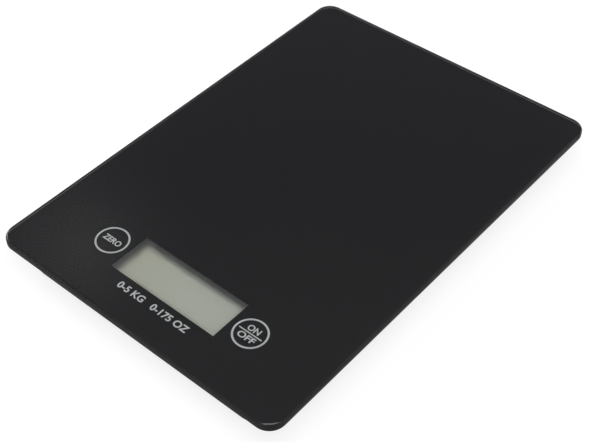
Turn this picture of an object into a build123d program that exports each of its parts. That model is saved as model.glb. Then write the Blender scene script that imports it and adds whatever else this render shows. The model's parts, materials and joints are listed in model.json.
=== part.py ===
from build123d import *
import os

# Slim digital kitchen scale: a glass platform with a black print under it, bonded to a shallow
# plastic case that stands on four sensing feet.
# Millimetres. X runs from left to right along the display, Y from the front edge to the back,
# and Z up from the table. The origin is on the table, under the middle of the glass.

os.makedirs("parts", exist_ok=True)

# Glass platform
glass_width = 160.0
glass_length = 230.0
glass_thickness = 4.0
glass_corner_radius = 8.0
glass_top_edge_radius = 1.2
glass_under_edge_radius = 0.8

# Layers between the glass and the case
print_thickness = 0.2
print_edge_gap = 0.2
tape_thickness = 0.8
tape_width = 7.0
tape_edge_gap = 1.0
tape_strip_width = 5.0

# Display window and touch keys
window_width = 60.0
window_length = 21.6
window_from_front = 32.0
key_from_window = 10.7

# Case shells
case_side_inset = 11.0
case_end_inset = 4.6
case_corner_radius = 10.0
case_draft = 1.0
case_wall = 2.0
case_edge_radius = 1.4
ground_gap = 2.0
tray_floor = 1.8
tray_height = 9.0
carrier_thickness = 2.0
carrier_rim = 12.0
carrier_rib = 8.0
carrier_corner_radius = 4.0
carrier_columns = 2
carrier_rows = 3
lip_height = 1.6
lip_thickness = 1.4
lip_clearance = 0.2

# Feet
foot_radius = 8.5
foot_clearance = 0.5
foot_wall_gap = 1.5
foot_edge_radius = 0.3
foot_boss_radius = 4.0
foot_travel = 0.4
stop_gap = 0.05
stop_radius = 1.5
foot_collar_wall = 1.4
foot_collar_height = 0.5
pad_radius = 7.0
pad_thickness = 1.4
pad_exposed = 0.8
pad_edge_radius = 0.25
pad_groove_width = 0.8
pad_groove_depth = 0.3
pad_clearance = 0.1

# Load cells and their gauges
cell_width = 14.0
cell_thickness = 2.0
cell_floor_gap = 0.8
cell_corner_radius = 2.0
cell_foot_margin = 7.0
cell_clamp_margin = 6.0
cell_reach = 24.0
cell_neck_radius = 3.6
peg_radius = 1.5
peg_spacing = 8.0
peg_clearance = 0.1
peg_relief = 0.2
clamp_inset = 1.0
gauge_width = 6.0
gauge_length = 8.0
gauge_thickness = 0.4

# Screws
screw_clearance = 0.1
thread_clearance = 0.05
screw_end_gap = 0.5
slot_share = 0.6
slot_width = 0.5
slot_depth = 0.7
case_screw_radius = 1.3
case_screw_head_radius = 2.8
case_screw_head_height = 1.8
case_screw_sink = 0.2
case_screw_bite = 5.0
tray_boss_radius = 4.2
tray_boss_height = 2.0
carrier_boss_radius = 3.7
boss_gap = 0.8
foot_screw_radius = 1.3
foot_screw_head_radius = 2.6
foot_screw_angle = 90.0
foot_screw_bite = 2.6
board_screw_radius = 0.9
board_screw_head_radius = 1.9
board_screw_head_height = 1.2
board_screw_bite = 3.2
board_boss_radius = 2.4

# Display stack
lcd_recess = 3.0
lcd_border = 3.0
lcd_ledge = 2.8
lcd_glass_thickness = 0.7
lcd_film_thickness = 0.2
lcd_film_inset = 0.5
lcd_board_gap = 0.8
zebra_width = 2.0
bezel_wall = 1.2
bezel_fit = 0.2
bezel_opening_gap = 0.8
bezel_ear_width = 5.0
bezel_ear_length = 4.0
bezel_ear_height = 1.4
bezel_peg_spacing = 44.0
bezel_peg_radius = 1.0
bezel_peg_stand = 0.3
bezel_carrier_gap = 0.4

# Main board
board_thickness = 1.0
board_front_margin = 0.7
board_rear_margin = 8.0
board_corner_radius = 1.0
board_edge_margin = 1.5
board_stem_margin = 2.0
board_hole_inset = 4.0
chip_radius = 6.0
chip_height = 0.9
chip_ahead = 6.0
plug_width = 10.0
plug_length = 6.0
plug_height = 2.4
plug_offset = 12.0
plug_rear_inset = 1.0
small_part_width = 1.6
small_part_length = 0.8
small_part_height = 0.6
small_part_pitch = 3.2
small_part_columns = 6
small_part_rows = 2

# Touch springs
spring_radius = 3.6
spring_wire_radius = 0.3
spring_turns = 4
spring_hole_gap = 0.8

# Battery and its bay
coin_radius = 10.0
coin_thickness = 3.2
coin_rim = 1.3
coin_step = 0.5
coin_edge_radius = 0.3
coin_clearance = 0.3
battery_from_board = 32.0
cover_thickness = 1.4
cover_side_lap = 1.2
cover_latch_lap = 3.5
cover_gap = 0.3
cover_corner_radius = 1.0
cover_slit_width = 0.8
cover_slit_length = 6.0
cover_tongue_width = 8.0
cover_grip_radius = 5.0
cover_grip_depth = 0.5
trunnion_radius = 0.8
trunnion_length = 1.5
trunnion_clearance = 0.08
cover_pad_radius = 5.0
cover_pad_thickness = 0.75
touch_gap = 0.05
bay_wall = 1.5
bay_roof = 1.2
bay_headroom = 0.8
contact_thickness = 0.3
contact_width = 5.0
contact_slot_gap = 0.3
contact_tab_length = 5.0
contact_exit = 3.0
contact_reach = 5.0
contact_tip = 2.0

# Leads
lead_radius = 0.7
lead_bend_radius = 4.0
lead_end_gap = 0.1
lead_crossing = 12.0
battery_lead_radius = 0.6
battery_lead_bend_radius = 8.0
battery_lead_landing = 3.0
clip_wall = 1.0
clip_length = 5.0
clip_height = 2.6
clip_clearance = 0.25
clip_count = 3
clip_pitch = 36.0

# Tray stiffening and underside
rib_thickness = 1.2
rib_height = 2.4
rib_spacing = 44.0
rib_count = 2
rib_offset = 24.0
label_width = 50.0
label_length = 30.0
label_depth = 0.2
label_behind_cover = 38.0

# Heights above the table
tray_bottom_z = ground_gap
floor_z = tray_bottom_z + tray_floor
parting_z = tray_bottom_z + tray_height
carrier_top_z = parting_z + carrier_thickness
tape_top_z = carrier_top_z + tape_thickness
glass_under_z = tape_top_z + print_thickness
cell_bottom_z = floor_z + cell_floor_gap
cell_top_z = cell_bottom_z + cell_thickness
lcd_top_z = tape_top_z - lcd_recess
lcd_front_z = lcd_top_z - lcd_film_thickness - lcd_glass_thickness
lcd_rear_z = lcd_front_z - lcd_glass_thickness
lcd_bottom_z = lcd_rear_z - lcd_film_thickness
board_top_z = lcd_bottom_z - lcd_board_gap
board_bottom_z = board_top_z - board_thickness
ear_top_z = board_top_z + bezel_ear_height
stop_z = cell_top_z + foot_travel + stop_gap
boss_top_z = floor_z + tray_boss_height
cover_top_z = tray_bottom_z + cover_thickness
coin_bottom_z = cover_top_z + cover_pad_thickness + touch_gap
coin_top_z = coin_bottom_z + coin_thickness
bay_ceiling_z = coin_top_z + bay_headroom
bay_top_z = bay_ceiling_z + bay_roof

# Case outlines
case_width = glass_width - 2 * case_side_inset
case_length = glass_length - 2 * case_end_inset
cavity_width = case_width - 2 * (case_draft + case_wall)
cavity_length = case_length - 2 * (case_draft + case_wall)
cavity_corner_radius = case_corner_radius - case_draft - case_wall

# Feet and load cells
foot_x = cavity_width / 2 - foot_wall_gap - foot_radius
foot_y = cavity_length / 2 - foot_wall_gap - foot_radius
foot_hole_radius = foot_radius + foot_clearance
clamp_y = foot_y - cell_reach
neck_y = foot_y - cell_reach / 2
cell_outer_y = foot_y + cell_foot_margin
cell_inner_y = clamp_y - cell_clamp_margin
clamp_length = 2 * (cell_clamp_margin - clamp_inset)
corners = {
    "front_left": (-1, -1),
    "front_right": (1, -1),
    "rear_left": (-1, 1),
    "rear_right": (1, 1),
}
foot_points = [(sx * foot_x, sy * foot_y) for sx, sy in corners.values()]
clamp_points = [(sx * foot_x, sy * clamp_y) for sx, sy in corners.values()]
stop_points = [(sx * foot_x, sy * (cell_outer_y - stop_radius)) for sx, sy in corners.values()]

# Display and board
window_y = window_from_front - glass_length / 2
key_x = window_width / 2 + key_from_window
key_points = [(-key_x, window_y), (key_x, window_y)]
lcd_width = window_width + 2 * lcd_border
lcd_length = window_length + 2 * lcd_border
bezel_width = lcd_width + 2 * (bezel_fit + bezel_wall)
bezel_length = lcd_length + 2 * (bezel_fit + bezel_wall)
board_front_y = window_y - bezel_length / 2 - board_front_margin
board_rear_y = window_y + bezel_length / 2 + board_rear_margin
board_wing_y = window_y + spring_radius + spring_wire_radius + board_edge_margin
board_half_width = key_x + spring_radius + spring_wire_radius + board_edge_margin
stem_half_width = bezel_width / 2 - board_stem_margin
bezel_rear_y = window_y + bezel_length / 2
bezel_pegs = [(side * bezel_peg_spacing / 2, bezel_rear_y + bezel_ear_length / 2) for side in (-1, 1)]
front_hole_x = bezel_width / 2 + board_boss_radius + bezel_fit
front_hole_y = board_front_y + board_hole_inset
rear_hole_x = stem_half_width - board_hole_inset
rear_hole_y = board_rear_y - board_hole_inset
front_holes = [(-front_hole_x, front_hole_y), (front_hole_x, front_hole_y)]
rear_holes = [(-rear_hole_x, rear_hole_y), (rear_hole_x, rear_hole_y)]
board_holes = front_holes + rear_holes
plug_y = board_rear_y - plug_rear_inset - plug_length / 2

# Case screws: one row beside each pair of load cells and one across the middle
case_screw_x = cavity_width / 2 - boss_gap - tray_boss_radius
case_screw_y = cell_inner_y - boss_gap - tray_boss_radius
case_screw_points = [(sx * case_screw_x, row * case_screw_y) for sx in (-1, 1) for row in (-1, 0, 1)]

# Battery bay
battery_y = board_rear_y + battery_from_board
pocket_radius = coin_radius + coin_clearance
cover_width = 2 * (pocket_radius + cover_side_lap)
hinge_y = battery_y + pocket_radius + bay_wall + cover_gap + cover_thickness
hinge_z = cover_top_z
latch_y = battery_y - pocket_radius - cover_latch_lap
mouth_width = cover_width + 2 * cover_gap
mouth_front_y = latch_y - cover_gap
mouth_rear_y = hinge_y + cover_thickness + cover_gap
bay_width = mouth_width + 2 * (trunnion_length + bay_wall)
bay_front_y = mouth_front_y - bay_wall
bay_rear_y = mouth_rear_y + bay_wall
bay_length = bay_rear_y - bay_front_y
bay_middle_y = (bay_front_y + bay_rear_y) / 2


def save(piece, name):
    """Label a finished piece and write it to its own STEP file."""
    piece.part.label = name
    export_step(piece.part, f"parts/{name}.step")


def cross_slot(radius):
    """Draw the cross of a screw's drive recess on the current sketch."""
    Rectangle(2 * slot_share * radius, slot_width)
    Rectangle(slot_width, 2 * slot_share * radius)


# Glass platform with a rounded, polished edge
with BuildPart() as glass_platform:
    with BuildSketch(Plane.XY.offset(glass_under_z)):
        RectangleRounded(glass_width, glass_length, glass_corner_radius)
    extrude(amount=glass_thickness)
    fillet(glass_platform.faces().sort_by(Axis.Z)[-1].edges(), glass_top_edge_radius)
    fillet(glass_platform.faces().sort_by(Axis.Z)[0].edges(), glass_under_edge_radius)
save(glass_platform, "glass_platform")

# Black print on the flat underside of the glass, clear over the display
print_margin = glass_under_edge_radius + print_edge_gap
with BuildPart() as printed_backing:
    with BuildSketch(Plane.XY.offset(tape_top_z)):
        RectangleRounded(
            glass_width - 2 * print_margin,
            glass_length - 2 * print_margin,
            glass_corner_radius - print_margin,
        )
        with Locations((0, window_y)):
            Rectangle(window_width, window_length, mode=Mode.SUBTRACT)
    extrude(amount=print_thickness)
save(printed_backing, "printed_backing")

# Openings of the carrier frame behind the display
lattice_front_y = board_rear_y + board_hole_inset
lattice_rear_y = case_length / 2 - carrier_rim
lattice_y = (lattice_front_y + lattice_rear_y) / 2
lattice_hole_width = (case_width - 2 * carrier_rim - (carrier_columns - 1) * carrier_rib) / carrier_columns
lattice_hole_length = (lattice_rear_y - lattice_front_y - (carrier_rows - 1) * carrier_rib) / carrier_rows
lattice_pitch_x = lattice_hole_width + carrier_rib
lattice_pitch_y = lattice_hole_length + carrier_rib
carrier_window_width = bezel_width + 2 * bezel_carrier_gap
carrier_window_length = bezel_length + 2 * bezel_carrier_gap
spring_hole_radius = spring_radius + spring_wire_radius + spring_hole_gap

# Double-sided foam tape: a ring on the rim of the carrier and strips on its cross ribs
tape_outer_width = case_width - 2 * tape_edge_gap
tape_outer_length = case_length - 2 * tape_edge_gap
with BuildPart() as bonding_tape:
    with BuildSketch(Plane.XY.offset(carrier_top_z)):
        RectangleRounded(tape_outer_width, tape_outer_length, case_corner_radius - tape_edge_gap)
        RectangleRounded(
            tape_outer_width - 2 * tape_width,
            tape_outer_length - 2 * tape_width,
            carrier_corner_radius,
            mode=Mode.SUBTRACT,
        )
        with Locations((0, lattice_y)):
            with GridLocations(0, lattice_pitch_y, 1, carrier_rows - 1):
                Rectangle(tape_outer_width - tape_width, tape_strip_width)
        with Locations((0, (board_rear_y + lattice_front_y) / 2)):
            Rectangle(tape_outer_width - tape_width, board_hole_inset)
    extrude(amount=tape_thickness)
save(bonding_tape, "bonding_tape")

# Carrier frame: the upper shell of the case, which holds the board and clamps the load cells
with BuildPart() as carrier_frame:
    with BuildSketch(Plane.XY.offset(parting_z)):
        RectangleRounded(case_width, case_length, case_corner_radius)
        with Locations((0, window_y)):
            Rectangle(carrier_window_width, carrier_window_length, mode=Mode.SUBTRACT)
        with Locations(*key_points):
            Circle(spring_hole_radius, mode=Mode.SUBTRACT)
        with Locations((0, lattice_y)):
            with GridLocations(lattice_pitch_x, lattice_pitch_y, carrier_columns, carrier_rows):
                RectangleRounded(
                    lattice_hole_width, lattice_hole_length, carrier_corner_radius, mode=Mode.SUBTRACT
                )
        with Locations(*clamp_points):
            Rectangle(cell_width, 2 * cell_clamp_margin)
        with Locations(*case_screw_points):
            Circle(tray_boss_radius)
    extrude(amount=carrier_thickness)
    with BuildSketch(Plane.XY.offset(parting_z)):
        lip_outer = 2 * lip_clearance
        lip_inner = lip_outer + 2 * lip_thickness
        RectangleRounded(
            cavity_width - lip_outer, cavity_length - lip_outer, cavity_corner_radius - lip_clearance
        )
        RectangleRounded(
            cavity_width - lip_inner,
            cavity_length - lip_inner,
            cavity_corner_radius - lip_clearance - lip_thickness,
            mode=Mode.SUBTRACT,
        )
    extrude(amount=-lip_height)
    with BuildSketch(Plane.XY.offset(cell_top_z)):
        with Locations(*clamp_points):
            Rectangle(cell_width - 2 * clamp_inset, clamp_length)
    extrude(amount=parting_z - cell_top_z)
    # Posts that stop the free end of each load cell when the scale is overloaded
    with BuildSketch(Plane.XY.offset(stop_z)):
        with Locations(*stop_points):
            Circle(stop_radius)
    extrude(amount=parting_z - stop_z)
    with BuildSketch(Plane.XY.offset(boss_top_z)):
        with Locations(*case_screw_points):
            Circle(carrier_boss_radius)
    extrude(amount=parting_z - boss_top_z)
    with BuildSketch(Plane.XY.offset(board_top_z)):
        with Locations(*rear_holes):
            Circle(board_boss_radius)
    extrude(amount=parting_z - board_top_z)
    with BuildSketch(Plane.XY.offset(ear_top_z)):
        with Locations(*front_holes):
            Circle(board_boss_radius)
    extrude(amount=parting_z - ear_top_z)
    with Locations(*[Plane((x, y, boss_top_z), z_dir=(0, 0, -1)) for x, y in case_screw_points]):
        Hole(case_screw_radius + thread_clearance, case_screw_bite + screw_end_gap)
    with Locations(*[Plane((x, y, board_top_z), z_dir=(0, 0, -1)) for x, y in board_holes]):
        Hole(board_screw_radius + thread_clearance, board_screw_bite + screw_end_gap)
save(carrier_frame, "carrier_frame")

# Routes of the sensor leads, from the neck of each load cell to the plugs under the board
lead_z = cell_bottom_z + lead_radius
lead_start_x = foot_x - cell_width / 2 + cell_neck_radius - lead_end_gap
run_x = foot_x - cell_width / 2 - boss_gap - clip_wall - clip_clearance - lead_radius
clip_offset = lead_radius + clip_clearance + clip_wall / 2

# Base tray: the lower shell, with seats for the load cells and a bay for the battery
with BuildPart() as base_tray:
    with BuildSketch(Plane.XY.offset(tray_bottom_z)):
        RectangleRounded(
            case_width - 2 * case_draft, case_length - 2 * case_draft, case_corner_radius - case_draft
        )
    with BuildSketch(Plane.XY.offset(parting_z)):
        RectangleRounded(case_width, case_length, case_corner_radius)
    loft(ruled=True)
    fillet(base_tray.faces().sort_by(Axis.Z)[0].edges(), case_edge_radius)
    with BuildSketch(Plane.XY.offset(floor_z)):
        RectangleRounded(cavity_width, cavity_length, cavity_corner_radius)
    extrude(amount=parting_z - floor_z, mode=Mode.SUBTRACT)
    # Collars and holes for the feet
    with BuildSketch(Plane.XY.offset(floor_z)):
        with Locations(*foot_points):
            Circle(foot_hole_radius + foot_collar_wall)
    extrude(amount=foot_collar_height)
    with Locations(*[(x, y, floor_z + foot_collar_height) for x, y in foot_points]):
        Hole(foot_hole_radius, tray_floor + foot_collar_height)
    # Seats and locating pegs of the load cells
    with BuildSketch(Plane.XY.offset(floor_z)):
        with Locations(*clamp_points):
            Rectangle(cell_width, 2 * cell_clamp_margin)
    extrude(amount=cell_floor_gap)
    with BuildSketch(Plane.XY.offset(cell_bottom_z)):
        with Locations(*clamp_points):
            with GridLocations(peg_spacing, 0, 2, 1):
                Circle(peg_radius)
    extrude(amount=cell_thickness - peg_relief)
    # Case screw bosses
    with BuildSketch(Plane.XY.offset(floor_z)):
        with Locations(*case_screw_points):
            Circle(tray_boss_radius)
    extrude(amount=tray_boss_height)
    with Locations(*[Plane((x, y, tray_bottom_z), z_dir=(0, 0, -1)) for x, y in case_screw_points]):
        CounterBoreHole(
            case_screw_radius + screw_clearance,
            case_screw_head_radius + screw_clearance,
            case_screw_sink + case_screw_head_height,
            tray_floor + tray_boss_height,
        )
    # Stiffening ribs behind the battery bay
    with BuildSketch(Plane.XY.offset(floor_z)):
        with Locations((0, bay_rear_y + rib_offset)):
            Rectangle(2 * (run_x - clip_offset - clip_wall), rib_thickness)
        with Locations((0, (bay_rear_y + cavity_length / 2) / 2)):
            with GridLocations(rib_spacing, 0, rib_count, 1):
                Rectangle(rib_thickness, cavity_length / 2 - bay_rear_y)
    extrude(amount=rib_height)
    # Clips that hold the long sensor leads
    with BuildSketch(Plane.XY.offset(floor_z)):
        for side in (-1, 1):
            with Locations((side * run_x, 0)):
                with GridLocations(2 * clip_offset, clip_pitch, 2, clip_count):
                    Rectangle(clip_wall, clip_length)
    extrude(amount=clip_height)
    # Battery bay: a block round the coin cell, open downwards at the cover
    with BuildSketch(Plane.XY.offset(floor_z)):
        with Locations((0, bay_middle_y)):
            Rectangle(bay_width, bay_length)
    extrude(amount=bay_top_z - floor_z)
    with BuildSketch(Plane.XY.offset(tray_bottom_z)):
        with Locations((0, (mouth_front_y + mouth_rear_y) / 2)):
            Rectangle(mouth_width, mouth_rear_y - mouth_front_y)
    extrude(amount=tray_floor, mode=Mode.SUBTRACT)
    with BuildSketch(Plane.XY.offset(floor_z)):
        with Locations((0, battery_y)):
            Circle(pocket_radius)
    extrude(amount=bay_ceiling_z - floor_z, mode=Mode.SUBTRACT)
    # Groove and bearings for the hinge of the cover
    with BuildSketch(Plane.YZ.offset(-mouth_width / 2)):
        with Locations((hinge_y, hinge_z)):
            Circle(cover_thickness + cover_gap)
    extrude(amount=mouth_width, mode=Mode.SUBTRACT)
    trunnion_span = mouth_width + 2 * trunnion_length
    with BuildSketch(Plane.YZ.offset(-trunnion_span / 2)):
        with Locations((hinge_y, hinge_z)):
            Circle(trunnion_radius + trunnion_clearance)
    extrude(amount=trunnion_span, mode=Mode.SUBTRACT)
    # Slots for the two battery contacts
    slot_length = contact_width + 2 * contact_slot_gap
    with BuildSketch(Plane.XY.offset(bay_ceiling_z)):
        with Locations((contact_exit, battery_y)):
            Rectangle(contact_thickness + 2 * contact_slot_gap, slot_length)
    extrude(amount=bay_roof, mode=Mode.SUBTRACT)
    with BuildSketch(Plane.XY.offset(floor_z)):
        with Locations((coin_radius + contact_thickness, battery_y)):
            Rectangle(2 * (contact_thickness + contact_slot_gap), slot_length)
    extrude(amount=bay_top_z - floor_z, mode=Mode.SUBTRACT)
    # Shallow bare panel on the underside
    with BuildSketch(Plane.XY.offset(tray_bottom_z)):
        with Locations((0, hinge_y + label_behind_cover)):
            RectangleRounded(label_width, label_length, cover_corner_radius)
    extrude(amount=label_depth, mode=Mode.SUBTRACT)
save(base_tray, "base_tray")

# Case screws, driven up from below
with BuildPart() as case_screws:
    head_z = tray_bottom_z + case_screw_sink
    shank_z = head_z + case_screw_head_height
    with BuildSketch(Plane.XY.offset(head_z)):
        with Locations(*case_screw_points):
            Circle(case_screw_head_radius)
    extrude(amount=case_screw_head_height)
    with BuildSketch(Plane.XY.offset(shank_z)):
        with Locations(*case_screw_points):
            Circle(case_screw_radius)
    extrude(amount=boss_top_z + case_screw_bite - shank_z)
    with BuildSketch(Plane.XY.offset(head_z)):
        with Locations(*case_screw_points):
            cross_slot(case_screw_head_radius)
    extrude(amount=slot_depth, mode=Mode.SUBTRACT)
save(case_screws, "case_screws")

# Front polariser of the display
with BuildPart() as lcd_polariser:
    with BuildSketch(Plane.XY.offset(lcd_top_z - lcd_film_thickness)):
        with Locations((0, window_y)):
            Rectangle(lcd_width - 2 * lcd_film_inset, lcd_length - 2 * lcd_film_inset)
    extrude(amount=lcd_film_thickness)
save(lcd_polariser, "lcd_polariser")

# Front glass of the display, with a ledge at the back for the connector strip
with BuildPart() as lcd_front_glass:
    with BuildSketch(Plane.XY.offset(lcd_front_z)):
        with Locations((0, window_y)):
            Rectangle(lcd_width, lcd_length)
    extrude(amount=lcd_glass_thickness)
save(lcd_front_glass, "lcd_front_glass")

# Rear glass of the display, shorter by the ledge
rear_glass_y = window_y - lcd_ledge / 2
with BuildPart() as lcd_rear_glass:
    with BuildSketch(Plane.XY.offset(lcd_rear_z)):
        with Locations((0, rear_glass_y)):
            Rectangle(lcd_width, lcd_length - lcd_ledge)
    extrude(amount=lcd_glass_thickness)
save(lcd_rear_glass, "lcd_rear_glass")

# Reflector film behind the rear glass
with BuildPart() as lcd_reflector:
    with BuildSketch(Plane.XY.offset(lcd_bottom_z)):
        with Locations((0, rear_glass_y)):
            Rectangle(lcd_width - 2 * lcd_film_inset, lcd_length - lcd_ledge - 2 * lcd_film_inset)
    extrude(amount=lcd_film_thickness)
save(lcd_reflector, "lcd_reflector")

# Zebra strip: layered rubber between the ledge of the display and the board
with BuildPart() as zebra_strip:
    with BuildSketch(Plane.XY.offset(board_top_z)):
        with Locations((0, window_y + lcd_length / 2 - lcd_ledge / 2)):
            Rectangle(lcd_width - 2 * lcd_film_inset, zebra_width)
    extrude(amount=lcd_front_z - board_top_z)
save(zebra_strip, "zebra_strip")

# Bezel that frames the display and holds it on the board
with BuildPart() as lcd_bezel:
    with BuildSketch(Plane.XY.offset(board_top_z)):
        with Locations((0, window_y)):
            Rectangle(bezel_width, bezel_length)
    extrude(amount=carrier_top_z - board_top_z)
    with BuildSketch(Plane.XY.offset(board_top_z)):
        with Locations((0, window_y)):
            Rectangle(lcd_width + 2 * bezel_fit, lcd_length + 2 * bezel_fit)
    extrude(amount=lcd_top_z - board_top_z, mode=Mode.SUBTRACT)
    with BuildSketch(Plane.XY.offset(lcd_top_z)):
        with Locations((0, window_y)):
            Rectangle(window_width + 2 * bezel_opening_gap, window_length + 2 * bezel_opening_gap)
    extrude(amount=carrier_top_z - lcd_top_z, mode=Mode.SUBTRACT)
    # Front ears share the board screws, and rear ears have pegs that go through the board
    with BuildSketch(Plane.XY.offset(board_top_z)):
        with Locations((0, front_hole_y)):
            Rectangle(2 * (front_hole_x + board_boss_radius), 2 * board_boss_radius)
        with Locations((0, window_y)):
            Rectangle(bezel_width, bezel_length, mode=Mode.SUBTRACT)
        with Locations(*bezel_pegs):
            Rectangle(bezel_ear_width, bezel_ear_length)
        with Locations(*front_holes):
            Circle(board_screw_radius + screw_clearance, mode=Mode.SUBTRACT)
    extrude(amount=bezel_ear_height)
    with BuildSketch(Plane.XY.offset(board_top_z)):
        with Locations(*bezel_pegs):
            Circle(bezel_peg_radius)
    extrude(amount=-board_thickness - bezel_peg_stand)
save(lcd_bezel, "lcd_bezel")

# Main board: a wide part under the keys and a narrower one behind it
with BuildPart() as main_board:
    with BuildSketch(Plane.XY.offset(board_bottom_z)):
        with Locations((0, (board_front_y + board_wing_y) / 2)):
            RectangleRounded(2 * board_half_width, board_wing_y - board_front_y, board_corner_radius)
        with Locations((0, (window_y + board_rear_y) / 2)):
            RectangleRounded(2 * stem_half_width, board_rear_y - window_y, board_corner_radius)
        with Locations(*board_holes):
            Circle(board_screw_radius + screw_clearance, mode=Mode.SUBTRACT)
        with Locations(*bezel_pegs):
            Circle(bezel_peg_radius + peg_clearance, mode=Mode.SUBTRACT)
    extrude(amount=board_thickness)
save(main_board, "main_board")

# Board screws, driven up into the carrier frame
with BuildPart() as board_screws:
    head_z = board_bottom_z - board_screw_head_height
    with BuildSketch(Plane.XY.offset(head_z)):
        with Locations(*board_holes):
            Circle(board_screw_head_radius)
    extrude(amount=board_screw_head_height)
    with BuildSketch(Plane.XY.offset(board_bottom_z)):
        with Locations(*board_holes):
            Circle(board_screw_radius)
    extrude(amount=board_thickness + board_screw_bite)
    with BuildSketch(Plane.XY.offset(head_z)):
        with Locations(*board_holes):
            cross_slot(board_screw_head_radius)
    extrude(amount=slot_depth, mode=Mode.SUBTRACT)
save(board_screws, "board_screws")

# Potted chip: a low dome of resin under the board
with BuildPart() as potted_chip:
    with BuildSketch(Plane.XZ.offset(-window_y - chip_ahead)):
        with BuildLine():
            rim = (chip_radius, board_bottom_z)
            crown = (0, board_bottom_z - chip_height)
            middle = (0, board_bottom_z)
            TangentArc(crown, rim, tangent=(1, 0))
            Line(rim, middle)
            Line(middle, crown)
        make_face()
    revolve(axis=Axis((0, window_y + chip_ahead, 0), (0, 0, 1)))
save(potted_chip, "potted_chip")

# Small resistors and capacitors under the board
with BuildPart() as board_components:
    with BuildSketch(Plane.XY.offset(board_bottom_z - small_part_height)):
        with Locations((0, window_y - chip_radius)):
            with GridLocations(small_part_pitch, small_part_pitch, small_part_columns, small_part_rows):
                Rectangle(small_part_width, small_part_length)
    extrude(amount=small_part_height)
save(board_components, "board_components")

# Plug connectors of the sensor leads, under the rear edge of the board
with BuildPart() as lead_plugs:
    with BuildSketch(Plane.XY.offset(board_bottom_z - plug_height)):
        with Locations((-plug_offset, plug_y), (plug_offset, plug_y)):
            Rectangle(plug_width, plug_length)
    extrude(amount=plug_height)
save(lead_plugs, "lead_plugs")

# Touch springs, one under each key, from the board up to the print
spring_rise = tape_top_z - board_top_z - 2 * spring_wire_radius
for side, point in zip(("left", "right"), key_points):
    with BuildPart() as touch_spring:
        with BuildLine() as coil:
            Helix(
                spring_rise / spring_turns,
                spring_rise,
                spring_radius,
                center=(*point, board_top_z + spring_wire_radius),
            )
        with BuildSketch(Plane(origin=coil.line @ 0, z_dir=coil.line % 0)):
            Circle(spring_wire_radius)
        sweep(is_frenet=True)
    save(touch_spring, f"touch_spring_{side}")

# Coin cell: a can with a smaller cap on top
with BuildPart() as coin_cell:
    with BuildSketch(Plane.XY.offset(coin_bottom_z)):
        with Locations((0, battery_y)):
            Circle(coin_radius)
    extrude(amount=coin_thickness - coin_step)
    fillet(coin_cell.edges().filter_by(GeomType.CIRCLE), coin_edge_radius)
    with BuildSketch(Plane.XY.offset(coin_top_z - coin_step)):
        with Locations((0, battery_y)):
            Circle(coin_radius - coin_rim)
    extrude(amount=coin_step)
save(coin_cell, "coin_cell")

# Negative contact: a leaf from the slot in the roof down to the cap of the cell
half_sheet = contact_thickness / 2
with BuildPart() as battery_negative_contact:
    with BuildSketch(Plane.XZ.offset(-battery_y)):
        with BuildLine():
            Polyline(
                (contact_exit + contact_tab_length, bay_top_z + half_sheet),
                (contact_exit, bay_top_z + half_sheet),
                (contact_exit, bay_ceiling_z - half_sheet),
                (0, bay_ceiling_z - half_sheet),
                (-contact_reach, coin_top_z + half_sheet + touch_gap),
                (-contact_reach - contact_tip, bay_ceiling_z - half_sheet),
            )
        trace(line_width=contact_thickness)
    extrude(amount=contact_width / 2, both=True)
save(battery_negative_contact, "battery_negative_contact")

# Positive contact: a leaf against the rim of the cell, bent over the top of the bay
leaf_x = coin_radius + touch_gap + half_sheet
with BuildPart() as battery_positive_contact:
    with BuildSketch(Plane.XZ.offset(-battery_y)):
        with BuildLine():
            Polyline(
                (leaf_x + contact_tab_length, bay_top_z + half_sheet),
                (leaf_x, bay_top_z + half_sheet),
                (leaf_x, coin_bottom_z + coin_edge_radius),
            )
        trace(line_width=contact_thickness)
    extrude(amount=contact_width / 2, both=True)
save(battery_positive_contact, "battery_positive_contact")

# Battery leads, from the contact tabs down to the top of the board
battery_lead_top_z = bay_top_z + contact_thickness + battery_lead_radius
battery_lead_end_z = board_top_z + battery_lead_radius
lead_landings = {
    "negative": contact_exit + contact_tab_length / 2,
    "positive": leaf_x + contact_tab_length / 2,
}
for pole, lead_x in lead_landings.items():
    with BuildPart() as battery_lead:
        with BuildLine() as route:
            FilletPolyline(
                (lead_x, battery_y, battery_lead_top_z),
                (lead_x, bay_front_y, battery_lead_top_z),
                (lead_x, board_rear_y + battery_lead_landing, battery_lead_end_z),
                (lead_x, board_rear_y - battery_lead_landing, battery_lead_end_z),
                radius=battery_lead_bend_radius,
            )
        with BuildSketch(Plane(origin=route.line @ 0, z_dir=route.line % 0)):
            Circle(battery_lead_radius)
        sweep()
    save(battery_lead, f"battery_lead_{pole}")

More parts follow.
